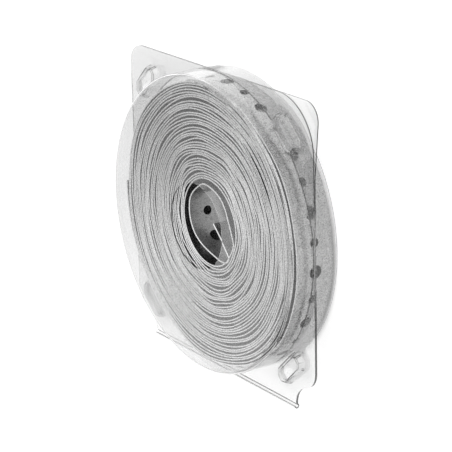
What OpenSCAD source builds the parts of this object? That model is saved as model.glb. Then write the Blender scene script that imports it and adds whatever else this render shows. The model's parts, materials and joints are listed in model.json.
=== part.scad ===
// Coil of perforated galvanised strap lying in a clear two-half clamshell, all sizes in millimetres.
// The origin is on the coil's axis at the floor; the clamshell lies on its back drum, hinge towards -Y.

/* [Strap and coil] */
// Width of the strap, which is the height of the coil
strap_width = 20; // [12:0.5:30]
// Thickness of the strap
strap_thickness = 0.8; // [0.5:0.1:1.2]
// Outer radius of the wound coil
coil_radius = 68; // [50:0.1:90]
// Radius of the open bore that the winding mandrel left
bore_radius = 19.8; // [12:0.1:30]
// Number of turns wound on the coil
turns = 36; // [10:1:60]
// Depth of the gap between two turns as it shows on the coil's ends
gap_depth = 1.2; // [0.4:0.1:3]
// Angle at which the outer turn ends
free_end_angle = 176; // [0:1:359]
// Share of a full circle that the outer turn covers before it runs under its own end
outer_turn_angle = 346; // [300:1:355]

/* [Perforations] */
// Diameter of the small holes
small_hole = 4.5; // [3:0.1:6]
// Diameter of the large holes, which alternate with the small ones
large_hole = 6.5; // [4:0.1:9]
// Spacing of neighbouring holes along the strap
hole_spacing = 13.5; // [8:0.1:20]
// Distance of the first hole from the outer end of the strap
first_hole = 9.2; // [4:0.1:12]
// Distance of the first hole of the innermost turn from the +X side, along the bore
inner_first_hole = 2.6; // [2.3:0.1:4]

/* [Clamshell drum] */
// Thickness of the formed plastic sheet
sheet = 0.5; // [0.3:0.05:0.8]
// Depth of each half's drum, outside, from the mating face of the flanges
drum_depth = 13.6; // [8:0.1:20]
// Flat floor left around the coil before the rounded edge of the drum starts
coil_room = 0.3; // [0.1:0.1:4]
// Rounding between the drum's wall and its face, outside
drum_edge_radius = 2; // [1:0.1:5]
// How much the drum's radius grows from its face to the flange, so that it leaves the mould
drum_taper = 0.3; // [0:0.1:2]
// How much larger the round opening in each drum face is than the coil's bore
opening_room = 0.6; // [0.2:0.1:5]

/* [Clamshell flange] */
// Ledge of the flange past the drum at its two sides
side_ledge = 0.7; // [0.2:0.1:10]
// Ledge of the flange past the drum at the edge away from the hinge
top_ledge = 0.4; // [0.2:0.1:10]
// Rounding of the plain top corner
corner_radius = 9.8; // [3:0.1:20]
// Large rounding of the front flange at the opening corner
opening_radius = 24.1; // [10:0.1:40]
// Radius of the finger tab on the back flange at the opening corner
tab_radius = 8.2; // [4:0.1:15]
// How far the finger tab stands out past the flange's side
tab_reach = 2.6; // [0:0.1:6]
// Height at which the finger tab runs into the flange's side
tab_foot = 36; // [10:0.5:50]
// Rounding of the flange where its side turns in towards the hinge
hip_radius = 9.2; // [4:0.1:15]
// Hollow rounding that runs down to the end of the hinge
notch_radius = 10.3; // [4:0.1:15]

/* [Hinge fold] */
// Half of the hinge's length
hinge_half = 57; // [30:0.5:70]
// Distance of the hinge's axis from the foot of the drum's wall
hinge_ledge = 2.8; // [2.4:0.1:10]
// Outer radius of the folded bead
bead_radius = 1.2; // [0.8:0.05:2]
// Clearance between parts that move past each other
clearance = 0.3; // [0.2:0.05:0.6]

/* [Snap buttons] */
// Distance of the snap buttons from the axis at the three plain corners
button_reach = 78; // [76:0.5:85]
// Distance of the snap button from the axis at the opening corner
opening_button_reach = 76; // [76:0.5:85]
// Half of the distance between the centres of a button's eight-sided ends
button_half = 5; // [2:0.1:8]
// Half width of a button at its base
button_base = 5; // [3:0.1:5.3]
// Half width of a button at its top
button_top = 4; // [2.5:0.1:5]
// Height of the buttons above the front flange
button_height = 3.6; // [2:0.1:6]
// Play between a button and the stud that snaps into it
stud_play = 0.4; // [0.3:0.05:0.8]

/* [Hidden] */
$fn = 128;
mating_z = drum_depth;
drum_face_radius = coil_radius + coil_room + drum_edge_radius;
drum_base_radius = drum_face_radius + drum_taper;
face_hole_radius = bore_radius + opening_room;
flange_side = drum_base_radius + side_ledge;
flange_top = drum_base_radius + top_ledge;
hinge_reach = drum_base_radius + hinge_ledge;
coil_bottom = sheet;
winding_radius = coil_radius - strap_thickness;
turn_pitch = (winding_radius - bore_radius) / (turns - 1);
turn_gap = turn_pitch - strap_thickness;
arc_steps = 8;
overlap = 0.2;
hole_count_outer = floor((outer_turn_angle * PI / 180 * coil_radius - first_hole) / hole_spacing);
hole_count_inner = floor(2 * PI * bore_radius / hole_spacing);
tab_x = flange_side + tab_reach - tab_radius;
tab_y = flange_top - tab_radius;
tab_run = norm([flange_side - tab_x, tab_foot - tab_y]);
tab_angle = atan2(tab_foot - tab_y, flange_side - tab_x) + acos(tab_radius / tab_run);
hip_x = flange_side - hip_radius;
notch_x = hinge_half + notch_radius;
front_bottom = hinge_reach - bead_radius - clearance;
notch_y = -front_bottom;
hip_y = notch_y + sqrt(pow(hip_radius + notch_radius, 2) - pow(notch_x - hip_x, 2));
back_bottom = hinge_reach - bead_radius + overlap;
stud_step = sheet + stud_play;

strap_coil();
shell_back();
shell_front();

// Points along an arc, used for the rounded edge of the drum.
function arc_points(cx, cy, r, from, to) =
    [for (i = [0:arc_steps]) let (a = from + (to - from) * i / arc_steps) [cx + r * cos(a), cy + r * sin(a)]];

// The wound strap as one turned solid: the gaps between turns show on both ends,
// the outer turn ends in a step, and the holes of the outermost and innermost turns are cut.
module strap_coil() {
    color([0.66, 0.68, 0.70])
    translate([0, 0, coil_bottom])
    difference() {
        union() {
            rotate_extrude() winding_section();
            rotate([0, 0, free_end_angle]) rotate_extrude(angle = outer_turn_angle) outer_turn_section();
        }
        outer_holes();
        inner_holes();
    }
}

// Half section of all turns but the outermost, with a groove at each gap.
module winding_section() {
    last = turns - 2;
    last_inside = bore_radius + last * turn_pitch;
    last_outside = last_inside + strap_thickness;
    bottom = [for (i = [0:last - 1]) each turn_edge(i, 0, gap_depth)];
    last_turn = [[last_inside, 0], [last_outside, 0], [last_outside, strap_width], [last_inside, strap_width]];
    top = [for (i = [last - 1:-1:0]) each turn_edge_back(i, strap_width, strap_width - gap_depth)];
    polygon(concat(bottom, last_turn, top));
}

// Edge of one turn and of the gap after it, going outwards.
function turn_edge(i, edge_z, gap_z) =
    let (r = bore_radius + i * turn_pitch)
    [[r, edge_z], [r + strap_thickness, edge_z], [r + strap_thickness, gap_z], [r + turn_pitch, gap_z]];

// The same edge going inwards.
function turn_edge_back(i, edge_z, gap_z) =
    let (r = bore_radius + i * turn_pitch)
    [[r + turn_pitch, gap_z], [r + strap_thickness, gap_z], [r + strap_thickness, edge_z], [r, edge_z]];

// Section of the outermost turn, with the filled gap behind it that joins it to the winding.
module outer_turn_section() {
    joined = winding_radius - turn_gap - overlap;
    polygon([[joined, gap_depth], [winding_radius, gap_depth], [winding_radius, 0], [coil_radius, 0],
        [coil_radius, strap_width], [winding_radius, strap_width],
        [winding_radius, strap_width - gap_depth], [joined, strap_width - gap_depth]]);
}

// Small and large holes by turns along the outermost turn, starting at its free end, down to the turn beneath.
module outer_holes() {
    for (i = [0:hole_count_outer - 1])
        rotate([0, 0, free_end_angle + (first_hole + i * hole_spacing) / coil_radius * 180 / PI])
            translate([winding_radius - turn_gap, 0, strap_width / 2]) rotate([0, 90, 0])
                cylinder(d = i % 2 == 0 ? small_hole : large_hole, h = turn_gap + 2 * strap_thickness);
}

// The same row of holes on the innermost turn, seen from the bore.
module inner_holes() {
    for (i = [0:hole_count_inner - 1])
        rotate([0, 0, (inner_first_hole + i * hole_spacing) / bore_radius * 180 / PI])
            translate([bore_radius - strap_thickness, 0, strap_width / 2]) rotate([0, 90, 0])
                cylinder(d = i % 2 == 0 ? small_hole : large_hole, h = 2 * strap_thickness + turn_gap);
}

// Back half: drum downwards, flange with finger tab, hinge bead and the studs that snap into the buttons.
module shell_back() {
    color([0.86, 0.90, 0.93, 0.35])
    difference() {
        union() {
            translate([0, 0, mating_z]) mirror([0, 0, 1]) drum();
            translate([0, 0, mating_z - sheet]) linear_extrude(sheet) back_flange_outline();
            hinge_bead();
            translate([0, 0, mating_z - sheet]) buttons(stud_step, stud_step);
        }
        translate([0, 0, mating_z - 2 * sheet]) buttons(stud_step + sheet, stud_step);
    }
}

// Front half: drum upwards, flange with the large opening corner, and hollow snap buttons.
module shell_front() {
    color([0.86, 0.90, 0.93, 0.35])
    translate([0, 0, mating_z])
    difference() {
        union() {
            drum();
            linear_extrude(sheet) front_flange_outline();
            buttons(0, 0);
        }
        translate([0, 0, -sheet]) buttons(sheet, 0);
    }
}

// One drum with its tapered wall, rounded edge and open flat face, standing on the mating face.
module drum() {
    rotate_extrude() polygon(concat(
        [[face_hole_radius, drum_depth]],
        arc_points(drum_face_radius - drum_edge_radius, drum_depth - drum_edge_radius, drum_edge_radius, 90, 0),
        [[drum_base_radius, 0], [drum_base_radius - sheet, 0]],
        arc_points(drum_face_radius - drum_edge_radius, drum_depth - drum_edge_radius,
            drum_edge_radius - sheet, 0, 90),
        [[face_hole_radius, drum_depth - sheet]]));
}

// Outline of the front flange, open inside the drum.
module front_flange_outline() {
    difference() {
        union() {
            upper_left_outline();
            translate([0, hip_y]) square([flange_side, flange_top - opening_radius - hip_y]);
            square([flange_side - opening_radius, flange_top]);
            translate([flange_side - opening_radius, flange_top - opening_radius]) circle(opening_radius);
            lower_outline(front_bottom);
        }
        circle(drum_base_radius - sheet / 2);
    }
}

// Outline of the back flange, with the finger tab that stands out past the front one.
module back_flange_outline() {
    difference() {
        union() {
            upper_left_outline();
            translate([0, hip_y]) square([flange_side, tab_foot - hip_y]);
            square([tab_x, flange_top]);
            translate([tab_x, tab_y]) circle(tab_radius);
            polygon([[0, 0], [flange_side, 0], [flange_side, tab_foot],
                [tab_x + tab_radius * cos(tab_angle), tab_y + tab_radius * sin(tab_angle)], [tab_x, tab_y]]);
            lower_outline(back_bottom);
        }
        circle(drum_base_radius - sheet / 2);
    }
}

// Left half of the flange above the hips, with its rounded corner.
module upper_left_outline() {
    translate([-flange_side, hip_y]) square([flange_side + overlap, flange_top - corner_radius - hip_y]);
    translate([corner_radius - flange_side, hip_y])
        square([flange_side - corner_radius + overlap, flange_top - hip_y]);
    translate([corner_radius - flange_side, flange_top - corner_radius]) circle(corner_radius);
}

// The part of the flange below the hips: on both sides a rounded hip, then a hollow notch to the hinge's end.
module lower_outline(bottom) {
    for (side = [0, 1]) mirror([side, 0]) {
        difference() {
            polygon([[-overlap, hip_y + overlap], [hip_x, hip_y + overlap], [hip_x, hip_y], [notch_x, notch_y],
                [hinge_half, notch_y], [hinge_half, -bottom], [-overlap, -bottom]]);
            translate([notch_x, notch_y]) circle(notch_radius);
        }
        translate([hip_x, hip_y]) circle(hip_radius);
    }
}

// Folded bead of the living hinge, open towards the front flange.
module hinge_bead() {
    translate([0, -hinge_reach, mating_z])
    difference() {
        rotate([0, 90, 0]) cylinder(r = bead_radius, h = 2 * hinge_half, center = true);
        rotate([0, 90, 0]) cylinder(r = bead_radius - sheet, h = 2 * hinge_half + 1, center = true);
        translate([-hinge_half - 1, 0, 0]) cube([2 * hinge_half + 2, 2 * bead_radius, 2 * bead_radius]);
    }
}

// One snap button at each corner, drawn in by the given amounts at the sides and top.
module buttons(inset, drop) {
    for (corner = [45, 135, 225, 315])
        rotate([0, 0, corner]) translate([corner == 45 ? opening_button_reach : button_reach, 0, 0])
            button(button_base - inset, button_top - inset, sheet + button_height - drop);
}

// Oblong button across its corner with chamfered ends: the room shared by four bars with sloped sides.
module button(base, top, h) {
    bar_length = 4 * (button_half + base);
    intersection_for(bar = [[0, 0], [90, button_half], [45, button_half * cos(45)], [-45, button_half * cos(45)]])
        rotate([0, 0, bar[0]]) rotate([90, 0, 0]) linear_extrude(bar_length, center = true)
            polygon([[-base - bar[1], 0], [base + bar[1], 0], [top + bar[1], h], [-top - bar[1], h]]);
}
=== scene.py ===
# %% [markdown]
# # A coil of perforated steel strap in a clear clamshell
# The real object is about 10 m of galvanised fixing strap, 20 mm wide and 0.8 mm thick, wound into a coil.
# The coil lies loose in a clear plastic clamshell: two formed halves with a hinge fold along one edge.
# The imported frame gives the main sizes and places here, so the first step loads it and measures it.

# %% Load the frame
import json
import math

import bmesh
import bpy
import numpy as np
from mathutils import Matrix, Vector


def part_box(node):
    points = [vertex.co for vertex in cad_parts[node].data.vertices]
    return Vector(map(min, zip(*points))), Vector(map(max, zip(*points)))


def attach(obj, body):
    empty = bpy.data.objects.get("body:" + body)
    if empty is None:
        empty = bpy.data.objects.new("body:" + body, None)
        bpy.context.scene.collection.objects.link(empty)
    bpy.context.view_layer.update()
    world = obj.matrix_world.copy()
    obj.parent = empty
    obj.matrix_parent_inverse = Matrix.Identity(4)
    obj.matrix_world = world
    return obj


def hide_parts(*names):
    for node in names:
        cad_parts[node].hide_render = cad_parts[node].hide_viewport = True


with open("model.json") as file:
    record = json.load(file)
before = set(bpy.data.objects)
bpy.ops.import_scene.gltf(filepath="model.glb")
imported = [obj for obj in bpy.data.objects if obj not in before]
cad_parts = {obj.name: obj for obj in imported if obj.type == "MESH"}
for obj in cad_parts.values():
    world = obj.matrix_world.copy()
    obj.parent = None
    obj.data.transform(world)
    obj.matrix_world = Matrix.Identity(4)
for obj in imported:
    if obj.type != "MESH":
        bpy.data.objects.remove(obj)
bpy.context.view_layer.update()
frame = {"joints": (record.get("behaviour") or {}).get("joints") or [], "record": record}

# %% [markdown]
# ## Sizes taken from the frame
# The meshes below are drawn in millimetres and scaled to metres once, when a piece is finished.
# The coil's box gives the strap's width and the coil's radius, the stated mounts give its bore and holes,
# and the two shells' boxes give the depth of the drums and the height at which the two halves meet.

# %% Measure the frame
MM = 0.001
mounts = {mount["name"]: mount for mount in frame["record"]["mounts"]}
hinge = frame["joints"][0]
coil_low, coil_high = (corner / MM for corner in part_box("strap_coil"))
front_low, front_high = (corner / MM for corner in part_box("shell_front"))
_, back_high = (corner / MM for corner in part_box("shell_back"))

strap_width = coil_high.z - coil_low.z
coil_radius = coil_high.x
bore_radius = mounts["coil_bore"]["dims"]["r_mm"]
small_hole = mounts["strap_hole_01"]["dims"]["r_mm"]
large_hole = mounts["strap_hole_02"]["dims"]["r_mm"]
strap_thickness = mounts["strap_hole_01"]["dims"]["length_mm"]
mating_z = front_low.z
drum_depth = front_high.z - mating_z
print(f"strap {strap_width:.1f} x {strap_thickness:.1f} mm")
print(f"coil radius {coil_radius:.1f} mm, bore radius {bore_radius:.1f} mm")
print(f"halves meet at z {mating_z:.1f}, each drum {drum_depth:.1f} mm deep")

# %% [markdown]
# ## The flat strap
# Fixing strap is punched while it is still flat: a small and a large hole by turns, 13.4 mm apart.
# A boolean for each of about 740 holes would be slow and leave long thin faces.
# Instead one cell of the strap is a small grid with its middle taken out, and a circle bridged to it.
# The circle is bridged from above the opening and then lowered into the plane of the strap.
# A narrow row along both sides will later become the slit edges, which are slightly rounded.

# %% Punch one cell of the strap
hole_spacing = 13.387
cell_columns = 6
cell_rows = 4
hole_sides = 2 * (cell_columns + cell_rows // 2)
tiny = 1e-4


def punch_cell(bm, middle_x, hole_radius):
    shift = Matrix.Translation((middle_x, 0, 0))
    size = Matrix.Diagonal((hole_spacing, strap_width, 1, 1))
    grid = bmesh.ops.create_grid(bm, x_segments=cell_columns, y_segments=cell_rows, size=0.5,
        matrix=shift @ size)
    faces = {face for vert in grid["verts"] for face in vert.link_faces}
    opening_half = strap_width / cell_rows
    middle = [face for face in faces if abs(face.calc_center_median().y) < opening_half]
    bmesh.ops.delete(bm, geom=middle, context="FACES_KEEP_BOUNDARY")
    bounding = [v for v in grid["verts"] if v.is_valid and abs(v.co.y) < opening_half + tiny]
    opening = [e for e in bm.edges if e.verts[0] in bounding and e.verts[1] in bounding]
    lift = Matrix.Translation((0, 0, opening_half))
    circle = bmesh.ops.create_circle(bm, segments=hole_sides, radius=hole_radius, matrix=shift @ lift)
    rim = {edge for vert in circle["verts"] for edge in vert.link_edges}
    bmesh.ops.bridge_loops(bm, edges=opening + list(rim))
    bmesh.ops.translate(bm, verts=circle["verts"], vec=(0, 0, -opening_half))


strap_bm = bmesh.new()
punch_cell(strap_bm, hole_spacing / 2, small_hole)
punch_cell(strap_bm, hole_spacing * 3 / 2, large_hole)
bmesh.ops.remove_doubles(strap_bm, verts=strap_bm.verts, dist=tiny)
print("one pair of punched cells:", len(strap_bm.faces), "faces")

# %% Mark off the slit edges
edge_row = 0.25


def all_of(bm):
    return bm.verts[:] + bm.edges[:] + bm.faces[:]


for side in (-1, 1):
    edge_y = side * (strap_width / 2 - edge_row)
    bmesh.ops.bisect_plane(strap_bm, geom=all_of(strap_bm), dist=tiny, plane_co=(0, edge_y, 0),
        plane_no=(0, 1, 0))
print("with an edge row on both sides:", len(strap_bm.faces), "faces")

# %% [markdown]
# ## The path of the winding
# Seen from the front, the strap starts at its sprung outer end and runs inwards for about 35 turns.
# A real coil isn't an even spiral. Neighbouring turns touch along part of the way and open up into long, thin
# lenses elsewhere, so each turn here is the one inside it plus the strap's thickness plus a gap.
# The lenses follow each other along the strap with lengths and widths from a seeded random source.
# Left alone they would add up to dents, so every turn is also pulled back towards an even spiral.

# %% Choose the lenses along the strap
turn_samples = 120
whole_turns = 35
full_turn = 2 * math.pi
outer_end_angle = math.radians(176)
loose_from_angle = math.radians(-18)
lens_short, lens_long = math.radians(28), math.radians(90)
lens_wide = 1.25
lens_seed = 47
narrow_favour = 1.5  # a power above 1 makes narrow lenses the more common ones

last_part = (loose_from_angle - outer_end_angle) % full_turn
sample_count = whole_turns * turn_samples + round(last_part / full_turn * turn_samples) + 1
winding = np.arange(sample_count) * full_turn / turn_samples
chance = np.random.default_rng(lens_seed)
lens = np.zeros(sample_count)
lens_start = 0.0
while lens_start < winding[-1]:
    lens_end = lens_start + chance.uniform(lens_short, lens_long)
    share = np.clip((winding - lens_start) / (lens_end - lens_start), 0, 1)
    lens += lens_wide * chance.uniform() ** narrow_favour * np.sin(math.pi * share) ** 2
    lens_start = lens_end - lens_short / 2
print(f"lenses along {winding[-1] / full_turn:.1f} turns, {lens.mean():.2f} mm wide on average")

# %% [markdown]
# ## From the inside out
# The bore and the outside of a hand-wound coil don't share one centre, so the even spiral runs
# from a circle about one centre to a circle about another. The turns are pulled back towards it.
# On the right, the outer turn stands off from the one inside it.

# %% Lay out the even spiral
bore_centre = (0.9, 0.3)
coil_centre = (-0.9, -0.7)
outside_room = 0.2

heading = loose_from_angle - winding
turn_number = winding / full_turn
sway_x, sway_y = np.cos(heading), np.sin(heading)
inner_turn = bore_radius + strap_thickness / 2 + bore_centre[0] * sway_x + bore_centre[1] * sway_y
coil_outside = coil_radius - outside_room
outer_turn = coil_outside - strap_thickness / 2 + coil_centre[0] * sway_x + coil_centre[1] * sway_y
even = inner_turn + (outer_turn - inner_turn) * turn_number / turn_number[-1]
even_gap = (outer_turn - inner_turn).mean() / turn_number[-1] - strap_thickness
print(f"an even spiral would leave a gap of {even_gap:.2f} mm between turns")

# %% Wind the turns from the inside out
touching = 0.1
pull = 0.45
stand_off = 1.3
stand_off_at, stand_off_reach = math.radians(-12), math.radians(45)

lens += even_gap - touching - lens.mean()
to_stand_off = (heading - stand_off_at + math.pi) % full_turn - math.pi
last_gap = (turn_number > turn_number[-1] - 2) & (turn_number <= turn_number[-1] - 1)
lens += stand_off * last_gap * np.exp(-(to_stand_off / stand_off_reach) ** 2)
radius = even.copy()
for start in range(turn_samples, sample_count, turn_samples):
    stop = min(start + turn_samples, sample_count)
    inside = slice(start - turn_samples, stop - turn_samples)
    gap = touching + np.maximum(0, lens[inside] - pull * (radius - even)[inside])
    radius[start:stop] = radius[inside] + strap_thickness + gap
off = (radius - even)[-turn_samples:]
print(f"the outer turn is off the even spiral by {off.min():.2f} to {off.max():.2f} mm")

# %% [markdown]
# ## The loose inner turn
# The last turn has come loose: it hangs free in the bore, bends back sharply and ends in a short tail.
# No rule gives such a line, so its points are listed along the turn's edge, in millimetres.
# A Catmull-Rom curve goes through all of its points, so it is drawn through these.

# %% Join the loose inner turn and the tail
loose_turn = [(18.9, -1.1), (16.1, 5.8), (13.9, 10.5), (10.2, 14.7), (3.9, 17.5), (-3.2, 18.1),
    (-9.9, 14.0), (-14.0, 9.5), (-15.3, 4.8), (-15.2, 0.5), (-14.0, -3.8), (-11.4, -7.9),
    (-7.1, -11.2), (-2.0, -13.3), (3.5, -14.9), (8.8, -16.0), (12.6, -15.9), (15.2, -14.8)]
tail = [(16.2, -12.8), (15.0, -10.9), (10.1, -5.4), (4.0, 0.6)]
curve_step = 0.25
blend_samples = 9
spring_out = 0.9
spring_samples = 16


def smooth_curve(points):
    points = np.array(points, float)
    ends = np.vstack([2 * points[0] - points[1], points, 2 * points[-1] - points[-2]])
    pieces = []
    for a, b, c, d in zip(ends[:-3], ends[1:-2], ends[2:-1], ends[3:]):
        steps = math.ceil(np.linalg.norm(c - b) / curve_step)
        t = np.linspace(0, 1, steps, endpoint=False)[:, None]
        square = (a - 2.5 * b + 2 * c - d / 2) * t ** 2
        cube = (1.5 * (b - c) + (d - a) / 2) * t ** 3
        pieces.append(b + (c - a) * t / 2 + square + cube)
    return np.vstack(pieces + [points[-1:]])


radius[-spring_samples:] += spring_out * np.linspace(0, 1, spring_samples) ** 2
turns_path = np.column_stack([radius * np.cos(heading), radius * np.sin(heading)])[::-1]
loose_path = smooth_curve([turns_path[-blend_samples], turns_path[-1]] + loose_turn + tail)
path = np.vstack([turns_path[:-blend_samples], loose_path])
along = np.concatenate([[0], np.cumsum(np.linalg.norm(np.diff(path, axis=0), axis=1))])
strap_length = along[-1]
bend_at = along[np.argmin(np.linalg.norm(path - tail[0], axis=1))]
print(f"strap {strap_length * MM:.2f} m long, sharp bend {strap_length - bend_at:.1f} mm from its inner end")

# %% [markdown]
# ## Winding the strap
# The pair of cells is doubled until the strip is longer than the path, and the rest is cut off.
# Extra cuts where the tail folds back let the flat strip take the tight bend.
# Then the strip gets its thickness, and its edge rows are pinched to round the slit edges a little.
# Last, every point moves to the path: its distance along the strip picks the place,
# its height above the strip becomes the distance from the path, and its place across becomes height.

# %% Lay out the whole strip
first_hole = 9.2
end_stretch = first_hole - hole_spacing / 2
seam_reach = 0.01

span = 2 * hole_spacing
while span < strap_length - end_stretch:
    copy = bmesh.ops.duplicate(strap_bm, geom=all_of(strap_bm))
    copied_verts = [item for item in copy["geom"] if isinstance(item, bmesh.types.BMVert)]
    bmesh.ops.translate(strap_bm, verts=copied_verts, vec=(span, 0, 0))
    span *= 2
bmesh.ops.translate(strap_bm, verts=strap_bm.verts, vec=(end_stretch, 0, 0))
outer_end = [vert for vert in strap_bm.verts if vert.co.x < end_stretch + tiny]
bmesh.ops.translate(strap_bm, verts=outer_end, vec=(-end_stretch, 0, 0))
bmesh.ops.remove_doubles(strap_bm, verts=strap_bm.verts, dist=seam_reach)
bmesh.ops.bisect_plane(strap_bm, geom=all_of(strap_bm), dist=tiny, plane_co=(strap_length, 0, 0),
    plane_no=(1, 0, 0), clear_outer=True)
print("flat strip:", len(strap_bm.faces), "faces")

# %% Cut the strip finer at the sharp bend
bend_reach = 6
bend_cut = 0.5

for cut_x in np.arange(bend_at - bend_reach, bend_at + bend_reach, bend_cut):
    near_cut = [face for face in strap_bm.faces if abs(face.calc_center_median().x - cut_x) < hole_spacing]
    near_edges = {edge for face in near_cut for edge in face.edges}
    near_verts = {vert for face in near_cut for vert in face.verts}
    bmesh.ops.bisect_plane(strap_bm, geom=list(near_verts) + list(near_edges) + near_cut, dist=tiny,
        plane_co=(cut_x, 0, 0), plane_no=(1, 0, 0))
print("with the cuts at the bend:", len(strap_bm.faces), "faces")

# %% Give the strip its thickness
pinch = 0.4
upright_limit = 0.5

bmesh.ops.translate(strap_bm, verts=strap_bm.verts, vec=(0, 0, -strap_thickness / 2))
top = bmesh.ops.extrude_face_region(strap_bm, geom=strap_bm.faces[:], use_keep_orig=True)
top_verts = [item for item in top["geom"] if isinstance(item, bmesh.types.BMVert)]
bmesh.ops.translate(strap_bm, verts=top_verts, vec=(0, 0, strap_thickness))
bmesh.ops.recalc_face_normals(strap_bm, faces=strap_bm.faces)
# This mark picks the walls of the holes, which the steel colours near black as painted shade.
punched = strap_bm.faces.layers.float.new("punched")
for face in strap_bm.faces:
    within_hole = all(abs(vert.co.y) < large_hole + tiny for vert in face.verts)
    face[punched] = float(within_hole and abs(face.normal.z) < upright_limit)
slit_edges = [vert for vert in strap_bm.verts if abs(vert.co.y) > strap_width / 2 - tiny]
bmesh.ops.scale(strap_bm, vec=(1, 1, pinch), verts=slit_edges)
print("thick strip:", len(strap_bm.faces), "faces")

# %% Finish a piece
def finish_piece(name, bm, body, slot, *replaced):
    bmesh.ops.scale(bm, vec=(MM, MM, MM), verts=bm.verts)
    mesh = bpy.data.meshes.new(name)
    bm.to_mesh(mesh)
    bm.free()
    piece = bpy.data.objects.new(name, mesh)
    bpy.context.scene.collection.objects.link(piece)
    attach(piece, body)
    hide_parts(*replaced)
    triangles = sum(len(face.vertices) - 2 for face in mesh.polygons)
    print(f"{name}: {triangles} triangles on {body}")
    return piece


# %% Wind it up
coil_lift = 0.05  # a hair of air between the strap and the back drum
strap_sharp = math.radians(40)

strap_bm.verts.index_update()
flat = np.array([vert.co for vert in strap_bm.verts])
tangent = np.gradient(path, axis=0) / np.gradient(along)[:, None]
middle_line = np.column_stack([np.interp(flat[:, 0], along, path[:, axis]) for axis in (0, 1)])
facing = np.column_stack([np.interp(flat[:, 0], along, tangent[:, axis]) for axis in (0, 1)])
facing /= np.linalg.norm(facing, axis=1)[:, None]
outwards = np.column_stack([facing[:, 1], -facing[:, 0]])
mid_height = coil_low.z + coil_lift + strap_width / 2
wound = np.column_stack([middle_line + outwards * flat[:, 2:], mid_height + flat[:, 1]])

strap_uv = strap_bm.loops.layers.uv.new("along_strap")
for face in strap_bm.faces:
    face.smooth = True
    for loop in face.loops:
        loop[strap_uv].uv = flat[loop.vert.index, :2] * MM
for vert in strap_bm.verts:
    vert.co = wound[vert.index]
wound_strap = finish_piece("wound_strap", strap_bm, "back_half_with_coil", "galvanised_steel", "strap_coil")
wound_strap.data.set_sharp_from_angle(angle=strap_sharp)

# %% [markdown]
# ## Two small helpers for the finishes
# Colours are easiest to pick as sRGB hex values, but a shader works in linear light.
# One function turns a hex value into linear RGBA, and one adds a node with its settings and links.
# A setting is first looked for on the node itself, and otherwise on the socket of that name or number.

# %% Colour and node helpers
def linear(hex_colour):
    channels = [int(hex_colour[i:i + 2], 16) / 255 for i in (1, 3, 5)]
    return [c / 12.92 if c <= 0.04045 else ((c + 0.055) / 1.055) ** 2.4 for c in channels] + [1.0]


def add_node(material, kind, settings=None, links=None):
    node = material.node_tree.nodes.new(kind)
    for name, value in (settings or {}).items():
        if isinstance(name, str) and hasattr(node, name):
            setattr(node, name, value)
        else:
            node.inputs[name].default_value = value
    for name, source in (links or {}).items():
        material.node_tree.links.new(source, node.inputs[name])
    return node


print("the lightest zinc in linear light:", [round(c, 3) for c in linear("#d6d6d6")])

# %% [markdown]
# ## Galvanised steel
# The strap is low-carbon steel sheet, hot-dip galvanised as a coil and then slit to width.
# Zinc freezes into spangles a few millimetres across, each a slightly different grey, and dulls with time.
# Bending the coating leaves fine cracks across the strap, drawn coarser here than they are, so they show.
# The slit edges are bare bright steel. The walls of the punched holes are bare steel too, but are coloured
# near black as painted shade, for the shade deep in the holes.
# Spangles and grain sit on Object coordinates. The cracks and the bright edges follow the strap,
# so they read its own UV map, which holds the distance along and across the strap in metres.

# %% Spangles and grain
spangle_size = 2.5 * MM
grain_size = 0.5 * MM
grain_share = 0.7
grain_dark, grain_light = 0.3, 0.7

steel = bpy.data.materials.new("galvanised_steel")
steel.use_nodes = True
steel_shader = steel.node_tree.nodes["Principled BSDF"]
steel_shader.inputs["Metallic"].default_value = 1.0
where = add_node(steel, "ShaderNodeTexCoord")
spangle = add_node(steel, "ShaderNodeTexVoronoi", {"Scale": 1 / spangle_size, "Randomness": 1.0},
    {"Vector": where.outputs["Object"]})
grain = add_node(steel, "ShaderNodeTexNoise", {"Scale": 1 / grain_size, "Detail": 3.0},
    {"Vector": where.outputs["Object"]})
spangle_grey = add_node(steel, "ShaderNodeSeparateColor", {}, {"Color": spangle.outputs["Color"]})
grain_grey = add_node(steel, "ShaderNodeMapRange", {"From Min": grain_dark, "From Max": grain_light},
    {"Value": grain.outputs["Fac"]})
mottle = add_node(steel, "ShaderNodeMix", {"data_type": "FLOAT", 0: grain_share},
    {2: spangle_grey.outputs["Red"], 3: grain_grey.outputs["Result"]})
zinc = add_node(steel, "ShaderNodeMix", {"data_type": "RGBA", 6: linear("#a2a2a2"), 7: linear("#d6d6d6")},
    {0: mottle.outputs[0]})
print(f"spangles of {spangle_size / MM:.1f} mm and grain of {grain_size / MM:.1f} mm")

# %% Cracks across the strap
crack_spacing = 0.5 * MM
crack_length = 2.4 * MM
crack_from, crack_full = 0.58, 0.75
crack_depth = 0.8

along_strap = add_node(steel, "ShaderNodeUVMap", {"uv_map": "along_strap"})
crack_place = add_node(steel, "ShaderNodeMapping", {"Scale": (1 / crack_spacing, 1 / crack_length, 1)},
    {"Vector": along_strap.outputs["UV"]})
crack_noise = add_node(steel, "ShaderNodeTexNoise", {"Scale": 1.0, "Detail": 1.0},
    {"Vector": crack_place.outputs["Vector"]})
crack = add_node(steel, "ShaderNodeMapRange",
    {"From Min": crack_from, "From Max": crack_full, "To Max": crack_depth},
    {"Value": crack_noise.outputs["Fac"]})
cracked = add_node(steel, "ShaderNodeMix", {"data_type": "RGBA", 7: linear("#7d7d7d")},
    {0: crack.outputs["Result"], 6: zinc.outputs[2]})
print(f"cracks about {crack_length / MM:.1f} mm long, {crack_spacing / MM:.1f} mm apart")

# %% Slit edges, and painted shade on the punched walls
edge_width = edge_row * MM
edge_place = strap_width * MM / 2

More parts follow.
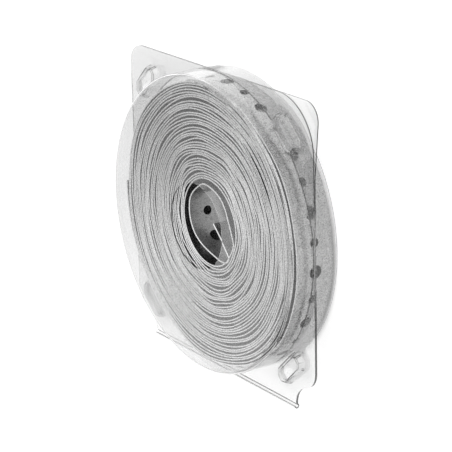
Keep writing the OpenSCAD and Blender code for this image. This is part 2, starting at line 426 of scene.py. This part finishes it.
across = add_node(steel, "ShaderNodeSeparateXYZ", {}, {"Vector": along_strap.outputs["UV"]})
from_middle = add_node(steel, "ShaderNodeMath", {"operation": "ABSOLUTE"}, {0: across.outputs["Y"]})
slit = add_node(steel, "ShaderNodeMapRange",
    {"From Min": edge_place - edge_width, "From Max": edge_place - edge_width / 2},
    {"Value": from_middle.outputs[0]})
slit_bright = add_node(steel, "ShaderNodeMix",
    {"data_type": "RGBA", 6: linear("#c4c4c4"), 7: linear("#f6f6f6")}, {0: grain_grey.outputs["Result"]})
edged = add_node(steel, "ShaderNodeMix", {"data_type": "RGBA"},
    {0: slit.outputs["Result"], 6: cracked.outputs[2], 7: slit_bright.outputs[2]})
# The near-black colour of the hole walls is painted shade, not the colour of bare steel.
hole_wall_painted_shade = add_node(steel, "ShaderNodeAttribute", {"attribute_name": "punched"})
steel_colour = add_node(steel, "ShaderNodeMix", {"data_type": "RGBA", 7: linear("#262626")},
    {0: hole_wall_painted_shade.outputs["Fac"], 6: edged.outputs[2]})
print(f"bright edges {edge_width / MM:.2f} mm wide")

# %% Join the steel
bright_gloss, dull_gloss = 0.2, 0.34
relief_height = 0.05 * MM

dullness = add_node(steel, "ShaderNodeMapRange", {"To Min": bright_gloss, "To Max": dull_gloss},
    {"Value": mottle.outputs[0]})
relief = add_node(steel, "ShaderNodeBump", {"Strength": 0.4, "Distance": relief_height},
    {"Height": mottle.outputs[0]})
steel.node_tree.links.new(steel_colour.outputs[2], steel_shader.inputs["Base Color"])
steel.node_tree.links.new(dullness.outputs["Result"], steel_shader.inputs["Roughness"])
steel.node_tree.links.new(relief.outputs["Normal"], steel_shader.inputs["Normal"])
wound_strap.data.materials.append(steel)
print("galvanised_steel:", len(steel.node_tree.nodes), "nodes")

# %% [markdown]
# ## The clear halves
# Each half of the clamshell is one clear sheet, 0.5 mm thick, drawn over a mould: a drum for the coil,
# a flange round it, and hollow buttons that snap together. A solid block would bend light wrongly,
# so each half here is a single surface that gets its thickness last, as the real sheet has it everywhere.
# A few points of the drum's section are spun round, the flange's outline is walked in runs and arcs,
# and triangle_fill closes the flat sheet between the outline and the rings of the drum and the buttons.

# %% Walk a line with straight runs and spun arcs
arc_step = 7.5


# A move of two numbers runs straight to that point. A move of three is an arc: its centre and its degrees.
def walk(bm, start, moves, upright=False):
    def point_at(a, b):
        return Vector((a, 0, b)) if upright else Vector((a, b, 0))

    axis = (0, -1, 0) if upright else (0, 0, 1)
    vert = bm.verts.new(point_at(*start))
    line = [vert]
    for move in moves:
        if len(move) == 2:
            grown = bmesh.ops.extrude_vert_indiv(bm, verts=[vert])
            vert = grown["verts"][0]
            vert.co = point_at(*move)
            line += grown["verts"] + grown["edges"]
        else:
            *centre, degrees = move
            known = set(bm.verts)
            spun = bmesh.ops.spin(bm, geom=[vert], cent=point_at(*centre), axis=axis,
                angle=math.radians(degrees), steps=math.ceil(abs(degrees) / arc_step))
            new_verts = [v for v in bm.verts if v not in known]
            line += new_verts + list({e for v in new_verts for e in v.link_edges})
            vert = next(item for item in spun["geom_last"] if isinstance(item, bmesh.types.BMVert))
    return line, vert


trial = bmesh.new()
trial_line, trial_end = walk(trial, (10, 0), [(0, 0, 90), (-5, 10)])
print("a trial walk of", len(trial_line), "items ends at", [round(c, 3) for c in trial_end.co])
trial.free()

# %% Spin the drum
sheet = 0.5
drum_room = 2.3
drum_face_radius = coil_radius + drum_room
drum_taper = 0.3
foot_round = 0.25
opening_room = 0.6
face_hole_radius = bore_radius + opening_room
face_rings = (50, 35, face_hole_radius)  # rings between rim and opening keep the face's quads short
drum_steps = 192


def add_drum(bm, side, edge_round):
    inside = drum_face_radius - sheet
    foot = inside + drum_taper
    bend = edge_round - sheet
    depth = drum_depth - sheet
    face_points = [(ring_radius, side * depth) for ring_radius in face_rings]
    moves = [(foot + foot_round, side * foot_round, -90 * side), (inside, side * (depth - bend)),
        (inside - bend, side * (depth - bend), 90 * side)] + face_points
    line, _ = walk(bm, (foot + foot_round, 0), moves, upright=True)
    bmesh.ops.spin(bm, geom=line, cent=(0, 0, 0), axis=(0, 0, 1), angle=full_turn, steps=drum_steps,
        use_merge=True)


print(f"drum radius {drum_face_radius:.1f} mm, round opening {face_hole_radius:.1f} mm")

# %% [markdown]
# ## Snap buttons
# Oblong buttons with cut corners hold the halves shut, one in each corner of the flange.
# Those of the front half snap over smaller studs on the back half, made in the same way.
# Each starts as its eight-sided outline on the flange.
# The outline is extruded ring by ring, and each ring is scaled to the width that the section has there.

# %% Form a snap button
button_half = 5
button_soft = 0.5
soft_rise = 0.12
foot_flare = 0.15
foot_draw = 0.05
rim_step = 0.1
corner_cut = 1 - math.tan(math.radians(22.5))


def add_button(bm, corner, reach, base, top, height):
    wide = base + button_soft
    long = button_half + wide
    cut = wide * corner_cut
    points = [(wide, long - cut), (wide - cut, long), (cut - wide, long), (-wide, long - cut),
        (-wide, cut - long), (cut - wide, -long), (wide - cut, -long)]
    line, last = walk(bm, (wide, cut - long), points)
    bm.edges.new((last, line[0]))
    ring = [item for item in line if isinstance(item, bmesh.types.BMVert)]
    button = list(ring)
    section = [(base + foot_flare, soft_rise), (base - foot_draw, button_soft),
        (top + rim_step, height - button_soft), (top - rim_step, height - soft_rise),
        (top - button_soft, height)]
    for half_width, rise in section:
        loop = {edge for vert in ring for edge in vert.link_edges if edge.other_vert(vert) in ring}
        grown = bmesh.ops.extrude_edge_only(bm, edges=list(loop))
        ring = [item for item in grown["geom"] if isinstance(item, bmesh.types.BMVert)]
        now_wide = max(vert.co.x for vert in ring)
        now_long = max(vert.co.y for vert in ring)
        now_high = ring[0].co.z
        bmesh.ops.scale(bm, vec=(half_width / now_wide, (button_half + half_width) / now_long, 1), verts=ring)
        bmesh.ops.translate(bm, vec=(0, 0, rise - now_high), verts=ring)
        button += ring
    rim = [item for item in grown["geom"] if isinstance(item, bmesh.types.BMEdge)]
    bmesh.ops.edgeloop_fill(bm, edges=rim)
    to_corner = Matrix.Rotation(math.radians(corner), 4, "Z") @ Matrix.Translation((reach, 0, 0))
    bmesh.ops.transform(bm, matrix=to_corner, verts=button)


print(f"buttons are {2 * button_half} mm longer than wide")

# %% [markdown]
# ## Flanges
# Both flanges have a hip and a notch at each end of the hinge, which leave the sheet free to fold there.
# At the opening corner they differ: the front flange is rounded far back,
# so that the back flange's finger tab stands out behind it and can be gripped.

# %% Place the flanges' corners
flange_side = front_high.x
flange_top = front_high.y
corner_radius = 9.8
opening_radius = 24.1
tab_radius = 8.2
tab_foot = 36
hip_radius = 9.2
notch_radius = 10.3
hinge_half = 57
hinge_y = hinge["pos_m"][1] / MM
bead_inside = 0.7
fold_room = 1.5
front_bottom = hinge_y + fold_room
back_bottom = hinge_y + bead_inside

notch_x = hinge_half + notch_radius
notch_y = front_bottom
hip_x = flange_side - hip_radius
hip_y = notch_y + math.sqrt((hip_radius + notch_radius) ** 2 - (notch_x - hip_x) ** 2)
hip_turn = math.degrees(math.atan2(hip_y - notch_y, notch_x - hip_x))
tab_x = back_high.x - tab_radius
tab_y = flange_top - tab_radius
tab_start = math.degrees(math.atan2(tab_foot - tab_y, flange_side - tab_x)
    + math.acos(tab_radius / math.hypot(flange_side - tab_x, tab_foot - tab_y)))
tab_side = (tab_x + tab_radius * math.cos(math.radians(tab_start)),
    tab_y + tab_radius * math.sin(math.radians(tab_start)))
print(f"flange {2 * flange_side:.1f} mm wide, hinge axis at y {hinge_y:.1f} mm")
print(f"hips turn {hip_turn:.1f} degrees, finger tab stands out {back_high.x - flange_side:.1f} mm")

# %% Outline the two flanges
front_corner = [(flange_side, flange_top - opening_radius),
    (flange_side - opening_radius, flange_top - opening_radius, 90)]
back_corner = [(flange_side, tab_foot), tab_side, (tab_x, tab_y, 90 - tab_start)]


def add_outline(bm, bottom, opening_corner):
    right = [(hinge_half, notch_y), (notch_x, notch_y, -hip_turn), (hip_x, hip_y, hip_turn)]
    left = [(corner_radius - flange_side, flange_top),
        (corner_radius - flange_side, flange_top - corner_radius, 90),
        (-flange_side, hip_y), (-hip_x, hip_y, hip_turn), (-notch_x, notch_y, -hip_turn),
        (-hinge_half, bottom)]
    if bottom == notch_y:
        right = right[1:]
        left = left[:-1]
    line, last = walk(bm, (hinge_half, bottom), right + opening_corner + left)
    hinge_edge = bm.edges.new((last, line[0]))
    edges = dict.fromkeys(item for item in line if isinstance(item, bmesh.types.BMEdge))
    return list(edges) + [hinge_edge], hinge_edge


print(f"moves at the opening corner: front {len(front_corner)}, back {len(back_corner)}")

# %% [markdown]
# ## One sheet for each half
# Drum, buttons and outline are separate rings in one bmesh, and triangle_fill joins them into one sheet.
# The back half also carries the hinge's fold: its hinge edge is spun three quarters round the hinge's axis.
# The flanges lie a hair apart, because two faces in one plane would show as speckles.

# %% Join drum, buttons and flange into one sheet
button_reach = 78
opening_button_reach = 76
button_corners = {45: opening_button_reach, 135: button_reach, 225: button_reach, 315: button_reach}
fold_turn = math.radians(-270)
fold_steps = 27
air_gap = 0.04
smallest_flat = 1.0  # in square millimetres, so that slivers don't count as the drum's flat face


def form_sheet(side, edge_round, bottom, opening_corner, button_size):
    bm = bmesh.new()
    add_drum(bm, side, edge_round)
    for corner, reach in button_corners.items():
        add_button(bm, corner, reach, *button_size)
    bmesh.ops.remove_doubles(bm, verts=bm.verts, dist=tiny)
    rings = [e for e in bm.edges if e.is_boundary and all(abs(v.co.z) < tiny for v in e.verts)]
    outline, hinge_edge = add_outline(bm, bottom, opening_corner)
    hinge_ends = [v.co.copy() for v in hinge_edge.verts]
    bmesh.ops.triangle_fill(bm, use_beauty=True, edges=rings + outline, normal=(0, 0, 1))
    if side < 0:
        at_hinge = {v for v in bm.verts if any((v.co - end).length < tiny for end in hinge_ends)}
        fold = [e for e in bm.edges if all(v in at_hinge for v in e.verts)]
        bmesh.ops.spin(bm, geom=fold, cent=(0, hinge_y, 0), axis=(1, 0, 0), angle=fold_turn, steps=fold_steps)
    bmesh.ops.remove_doubles(bm, verts=bm.verts, dist=tiny)
    bmesh.ops.recalc_face_normals(bm, faces=bm.faces)
    face_z = side * (drum_depth - sheet)
    on_face = [f for f in bm.faces if abs(f.calc_center_median().z - face_z) < tiny]
    flat_faces = [f for f in on_face if f.calc_area() > smallest_flat]
    if sum(f.normal.z for f in flat_faces) * side < 0:
        bmesh.ops.reverse_faces(bm, faces=bm.faces)
    flange_verts = [v for v in bm.verts if abs(v.co.z) < tiny]
    bmesh.ops.translate(bm, vec=(0, 0, side * air_gap), verts=flange_verts)
    bmesh.ops.translate(bm, vec=(0, 0, mating_z), verts=bm.verts)
    for face in bm.faces:
        face.smooth = True
    return bm


print(f"{len(button_corners)} buttons on each half, the flanges {2 * air_gap:.2f} mm apart")

# %% Give both sheets their thickness
front_edge_round = 2.0
back_edge_round = 1.2
front_button = (4.4, 3.5, 3.6)  # half width at the foot, half width at the top, and height
back_stud = (3.9, 3.1, 2.7)
sheet_sharp = math.radians(35)


def thicken(half):
    wall = half.modifiers.new("sheet_thickness", "SOLIDIFY")
    wall.thickness = sheet * MM
    wall.offset = 1
    wall.use_even_offset = True
    evaluated = half.evaluated_get(bpy.context.evaluated_depsgraph_get())
    half.data = bpy.data.meshes.new_from_object(evaluated)
    half.modifiers.clear()
    half.data.set_sharp_from_angle(angle=sheet_sharp)
    print(f"{half.name}: {len(half.data.polygons)} faces with its thickness")


front_sheet = form_sheet(1, front_edge_round, front_bottom, front_corner, front_button)
front_half = finish_piece("clear_front_half", front_sheet, "front_half", "clear_plastic", "shell_front")
thicken(front_half)
back_sheet = form_sheet(-1, back_edge_round, back_bottom, back_corner, back_stud)
back_half = finish_piece("clear_back_half", back_sheet, "back_half_with_coil", "clear_plastic", "shell_back")
thicken(back_half)

# %% [markdown]
# ## Clear plastic
# The halves are clear PET sheet, drawn warm over the mould: glossy on both sides, a little grey in itself,
# and faintly wavy where the sheet was stretched. PET bends light with an IOR of about 1.57.
# A refracting shader stops the straight shadow rays that ask how much light reaches a surface,
# so those rays pass a plain tinted layer instead, and all others go through the real, refracting sheet.

# %% Mix the clear plastic
wave_size = 9.0 * MM
wave_height = 0.1 * MM

clear = bpy.data.materials.new("clear_pet_sheet")
clear.use_nodes = True
clear_shader = clear.node_tree.nodes["Principled BSDF"]
clear_shader.inputs["Base Color"].default_value = linear("#f0f0f0")
clear_shader.inputs["Transmission Weight"].default_value = 1.0
clear_shader.inputs["IOR"].default_value = 1.57
clear_shader.inputs["Roughness"].default_value = 0.01
clear_where = add_node(clear, "ShaderNodeTexCoord")
waves = add_node(clear, "ShaderNodeTexNoise", {"Scale": 1 / wave_size, "Detail": 1.0},
    {"Vector": clear_where.outputs["Object"]})
wavy = add_node(clear, "ShaderNodeBump", {"Strength": 0.15, "Distance": wave_height},
    {"Height": waves.outputs["Fac"]})
clear.node_tree.links.new(wavy.outputs["Normal"], clear_shader.inputs["Normal"])
light_path = add_node(clear, "ShaderNodeLightPath")
passing = add_node(clear, "ShaderNodeBsdfTransparent", {"Color": linear("#eeeeee")})
shadowless = add_node(clear, "ShaderNodeMixShader", {},
    {0: light_path.outputs["Is Shadow Ray"], 1: clear_shader.outputs[0], 2: passing.outputs[0]})
clear_output = clear.node_tree.nodes["Material Output"]
clear.node_tree.links.new(shadowless.outputs[0], clear_output.inputs["Surface"])
for half in (front_half, back_half):
    half.data.materials.clear()
    half.data.materials.append(clear)
print("clear_pet_sheet:", len(clear.node_tree.nodes), "nodes")

# %% [markdown]
# ## Floor
# The floor glows with painted light, like a sheet of white acrylic lit from below.
# The glow is masked off under the pack as a painted shadow, so that plastic and strap keep their greys
# against the white, and a small painted spot of light glows under the bore and shines up through it. Past the
# opening edge a painted strip makes the floor a little brighter, because the drum's wall mirrors that part of
# it. The glow follows the floor's own Object coordinates.

# %% Lay the floor
floor_reach = 6.0
floor_drop = 0.1 * MM

floor_bm = bmesh.new()
bmesh.ops.create_grid(floor_bm, x_segments=1, y_segments=1, size=floor_reach)
bmesh.ops.translate(floor_bm, vec=(0, 0, -floor_drop), verts=floor_bm.verts)
floor_mesh = bpy.data.meshes.new("floor")
floor_bm.to_mesh(floor_mesh)
floor_bm.free()
floor = bpy.data.objects.new("floor", floor_mesh)
bpy.context.scene.collection.objects.link(floor)
print(f"floor {floor_drop / MM:.1f} mm below the pack")

# %% Paint the floor's glow, with a painted shadow under the pack and painted light under the bore
# The glow is painted light. It is masked off under the pack as a painted shadow, and a painted spot of light
# glows under the bore.
painted_shadow_middle = (3 * MM, -4 * MM, 0)
painted_shadow_from, painted_shadow_to, glow = 61 * MM, 68 * MM, 0.85
spot_middle = (4 * MM, -1 * MM, 0)
spot_from, spot_to, spot_glow = 12 * MM, 17 * MM, 0.45
strip_from, strip_to, strip_glow = 52 * MM, 100 * MM, 0.4

white = bpy.data.materials.new("glowing_floor_painted_light")
white.use_nodes = True
white_shader = white.node_tree.nodes["Principled BSDF"]
white_shader.inputs["Base Color"].default_value = linear("#898989")
white_shader.inputs["Roughness"].default_value = 0.9
white_shader.inputs["Emission Color"].default_value = linear("#ffffff")
floor_where = add_node(white, "ShaderNodeTexCoord")
from_axis = add_node(white, "ShaderNodeVectorMath", {"operation": "DISTANCE", 1: painted_shadow_middle},
    {0: floor_where.outputs["Object"]})
glow_past_painted_shadow = add_node(white, "ShaderNodeMapRange",
    {"From Min": painted_shadow_from, "From Max": painted_shadow_to, "To Max": glow, "interpolation_type": "SMOOTHSTEP"},
    {"Value": from_axis.outputs["Value"]})
from_bore = add_node(white, "ShaderNodeVectorMath", {"operation": "DISTANCE", 1: spot_middle},
    {0: floor_where.outputs["Object"]})
painted_light_in_bore = add_node(white, "ShaderNodeMapRange",
    {"From Min": spot_from, "From Max": spot_to, "To Min": spot_glow, "To Max": 0.0},
    {"Value": from_bore.outputs["Value"]})
floor_side = add_node(white, "ShaderNodeSeparateXYZ", {}, {"Vector": floor_where.outputs["Object"]})
# A painted strip of brighter glow past the opening edge, for the drum's wall to mirror.
painted_light_strip = add_node(white, "ShaderNodeMapRange",
    {"From Min": strip_from, "From Max": strip_to, "To Max": strip_glow, "interpolation_type": "SMOOTHSTEP"},
    {"Value": floor_side.outputs["Y"]})
painted_glow_round_pack = add_node(white, "ShaderNodeMath", {"operation": "ADD"},
    {0: glow_past_painted_shadow.outputs["Result"], 1: painted_light_in_bore.outputs["Result"]})
painted_floor_glow = add_node(white, "ShaderNodeMath", {"operation": "ADD"},
    {0: painted_glow_round_pack.outputs[0], 1: painted_light_strip.outputs["Result"]})
white.node_tree.links.new(painted_floor_glow.outputs[0], white_shader.inputs["Emission Strength"])
floor_mesh.materials.append(white)
print("glowing_floor_painted_light:", len(white.node_tree.nodes), "nodes")

# %% [markdown]
# ## Light from all round
# Bare lamps would draw hard streaks in the glossy sheet, so the surroundings themselves give the light.
# They are brighter above and towards the opening edge. The clear front mirrors one wide soft box
# over the lower part of the coil. The finger tab mirrors a small dark panel, which keeps it grey on white.

# %% Light from all round
sky_top = (0.1, 0.5, 0.87)
sky_from, sky_to = -0.5, 1.0
sky_low, sky_high = 0.55, 1.3
# Each has its direction, the degrees out to its rim and to its full strength, and that strength.
soft_box = ((-0.72, -0.5, 0.48), 13.0, 6.0, 0.75)
dark_panel = ((-0.752, -0.287, 0.593), 1.6, 0.8, -0.8)

world = bpy.data.worlds.new("studio")
world.use_nodes = True
sky_way = add_node(world, "ShaderNodeTexCoord")
sky_side = add_node(world, "ShaderNodeVectorMath", {"operation": "DOT_PRODUCT", 1: sky_top},
    {0: sky_way.outputs["Generated"]})
sky_light = add_node(world, "ShaderNodeMapRange",
    {"From Min": sky_from, "From Max": sky_to, "To Min": sky_low, "To Max": sky_high},
    {"Value": sky_side.outputs["Value"]})
studio_light = sky_light.outputs["Result"]
for towards, rim, middle, strength in (soft_box, dark_panel):
    box_side = add_node(world, "ShaderNodeVectorMath",
        {"operation": "DOT_PRODUCT", 1: Vector(towards).normalized()}, {0: sky_way.outputs["Generated"]})
    box_light = add_node(world, "ShaderNodeMapRange",
        {"From Min": math.cos(math.radians(rim)), "From Max": math.cos(math.radians(middle)),
            "To Max": strength, "interpolation_type": "SMOOTHSTEP"},
        {"Value": box_side.outputs["Value"]})
    with_box = add_node(world, "ShaderNodeMath", {"operation": "ADD"},
        {0: studio_light, 1: box_light.outputs["Result"]})
    studio_light = with_box.outputs[0]
background = world.node_tree.nodes["Background"]
background.inputs["Color"].default_value = linear("#ffffff")
world.node_tree.links.new(studio_light, background.inputs["Strength"])
bpy.context.scene.world = world
bpy.context.scene.view_settings.view_transform = "Standard"
print("studio:", len(world.node_tree.nodes), "nodes")

# %% [markdown]
# ## Camera
# The camera looks at the pack from the side with the finger tab, 33 degrees above the floor, and is rolled
# so that the pack stands upright in the frame. Its long lens keeps the drum's two circles nearly one size.
# Its place, axes and lens are fitted numbers: with them, the pack's edges fall where the view asks for them.

# %% Camera
camera_place = Vector((698.898, 290.946, 496.044)) * MM
camera_right = Vector((0.577087, -0.023700, -0.816339))
camera_up = Vector((-0.254224, 0.944702, -0.207143))
camera_back = Vector((0.776106, 0.327073, 0.539150))

camera_data = bpy.data.cameras.new("camera")
camera_data.lens = 155.161
camera_data.sensor_width = 36
camera = bpy.data.objects.new("camera", camera_data)
bpy.context.scene.collection.objects.link(camera)
turn = Matrix((camera_right, camera_up, camera_back)).transposed()
camera.matrix_world = Matrix.Translation(camera_place) @ turn.to_4x4()
bpy.context.scene.camera = camera
print("camera at", [round(c, 3) for c in camera_place])
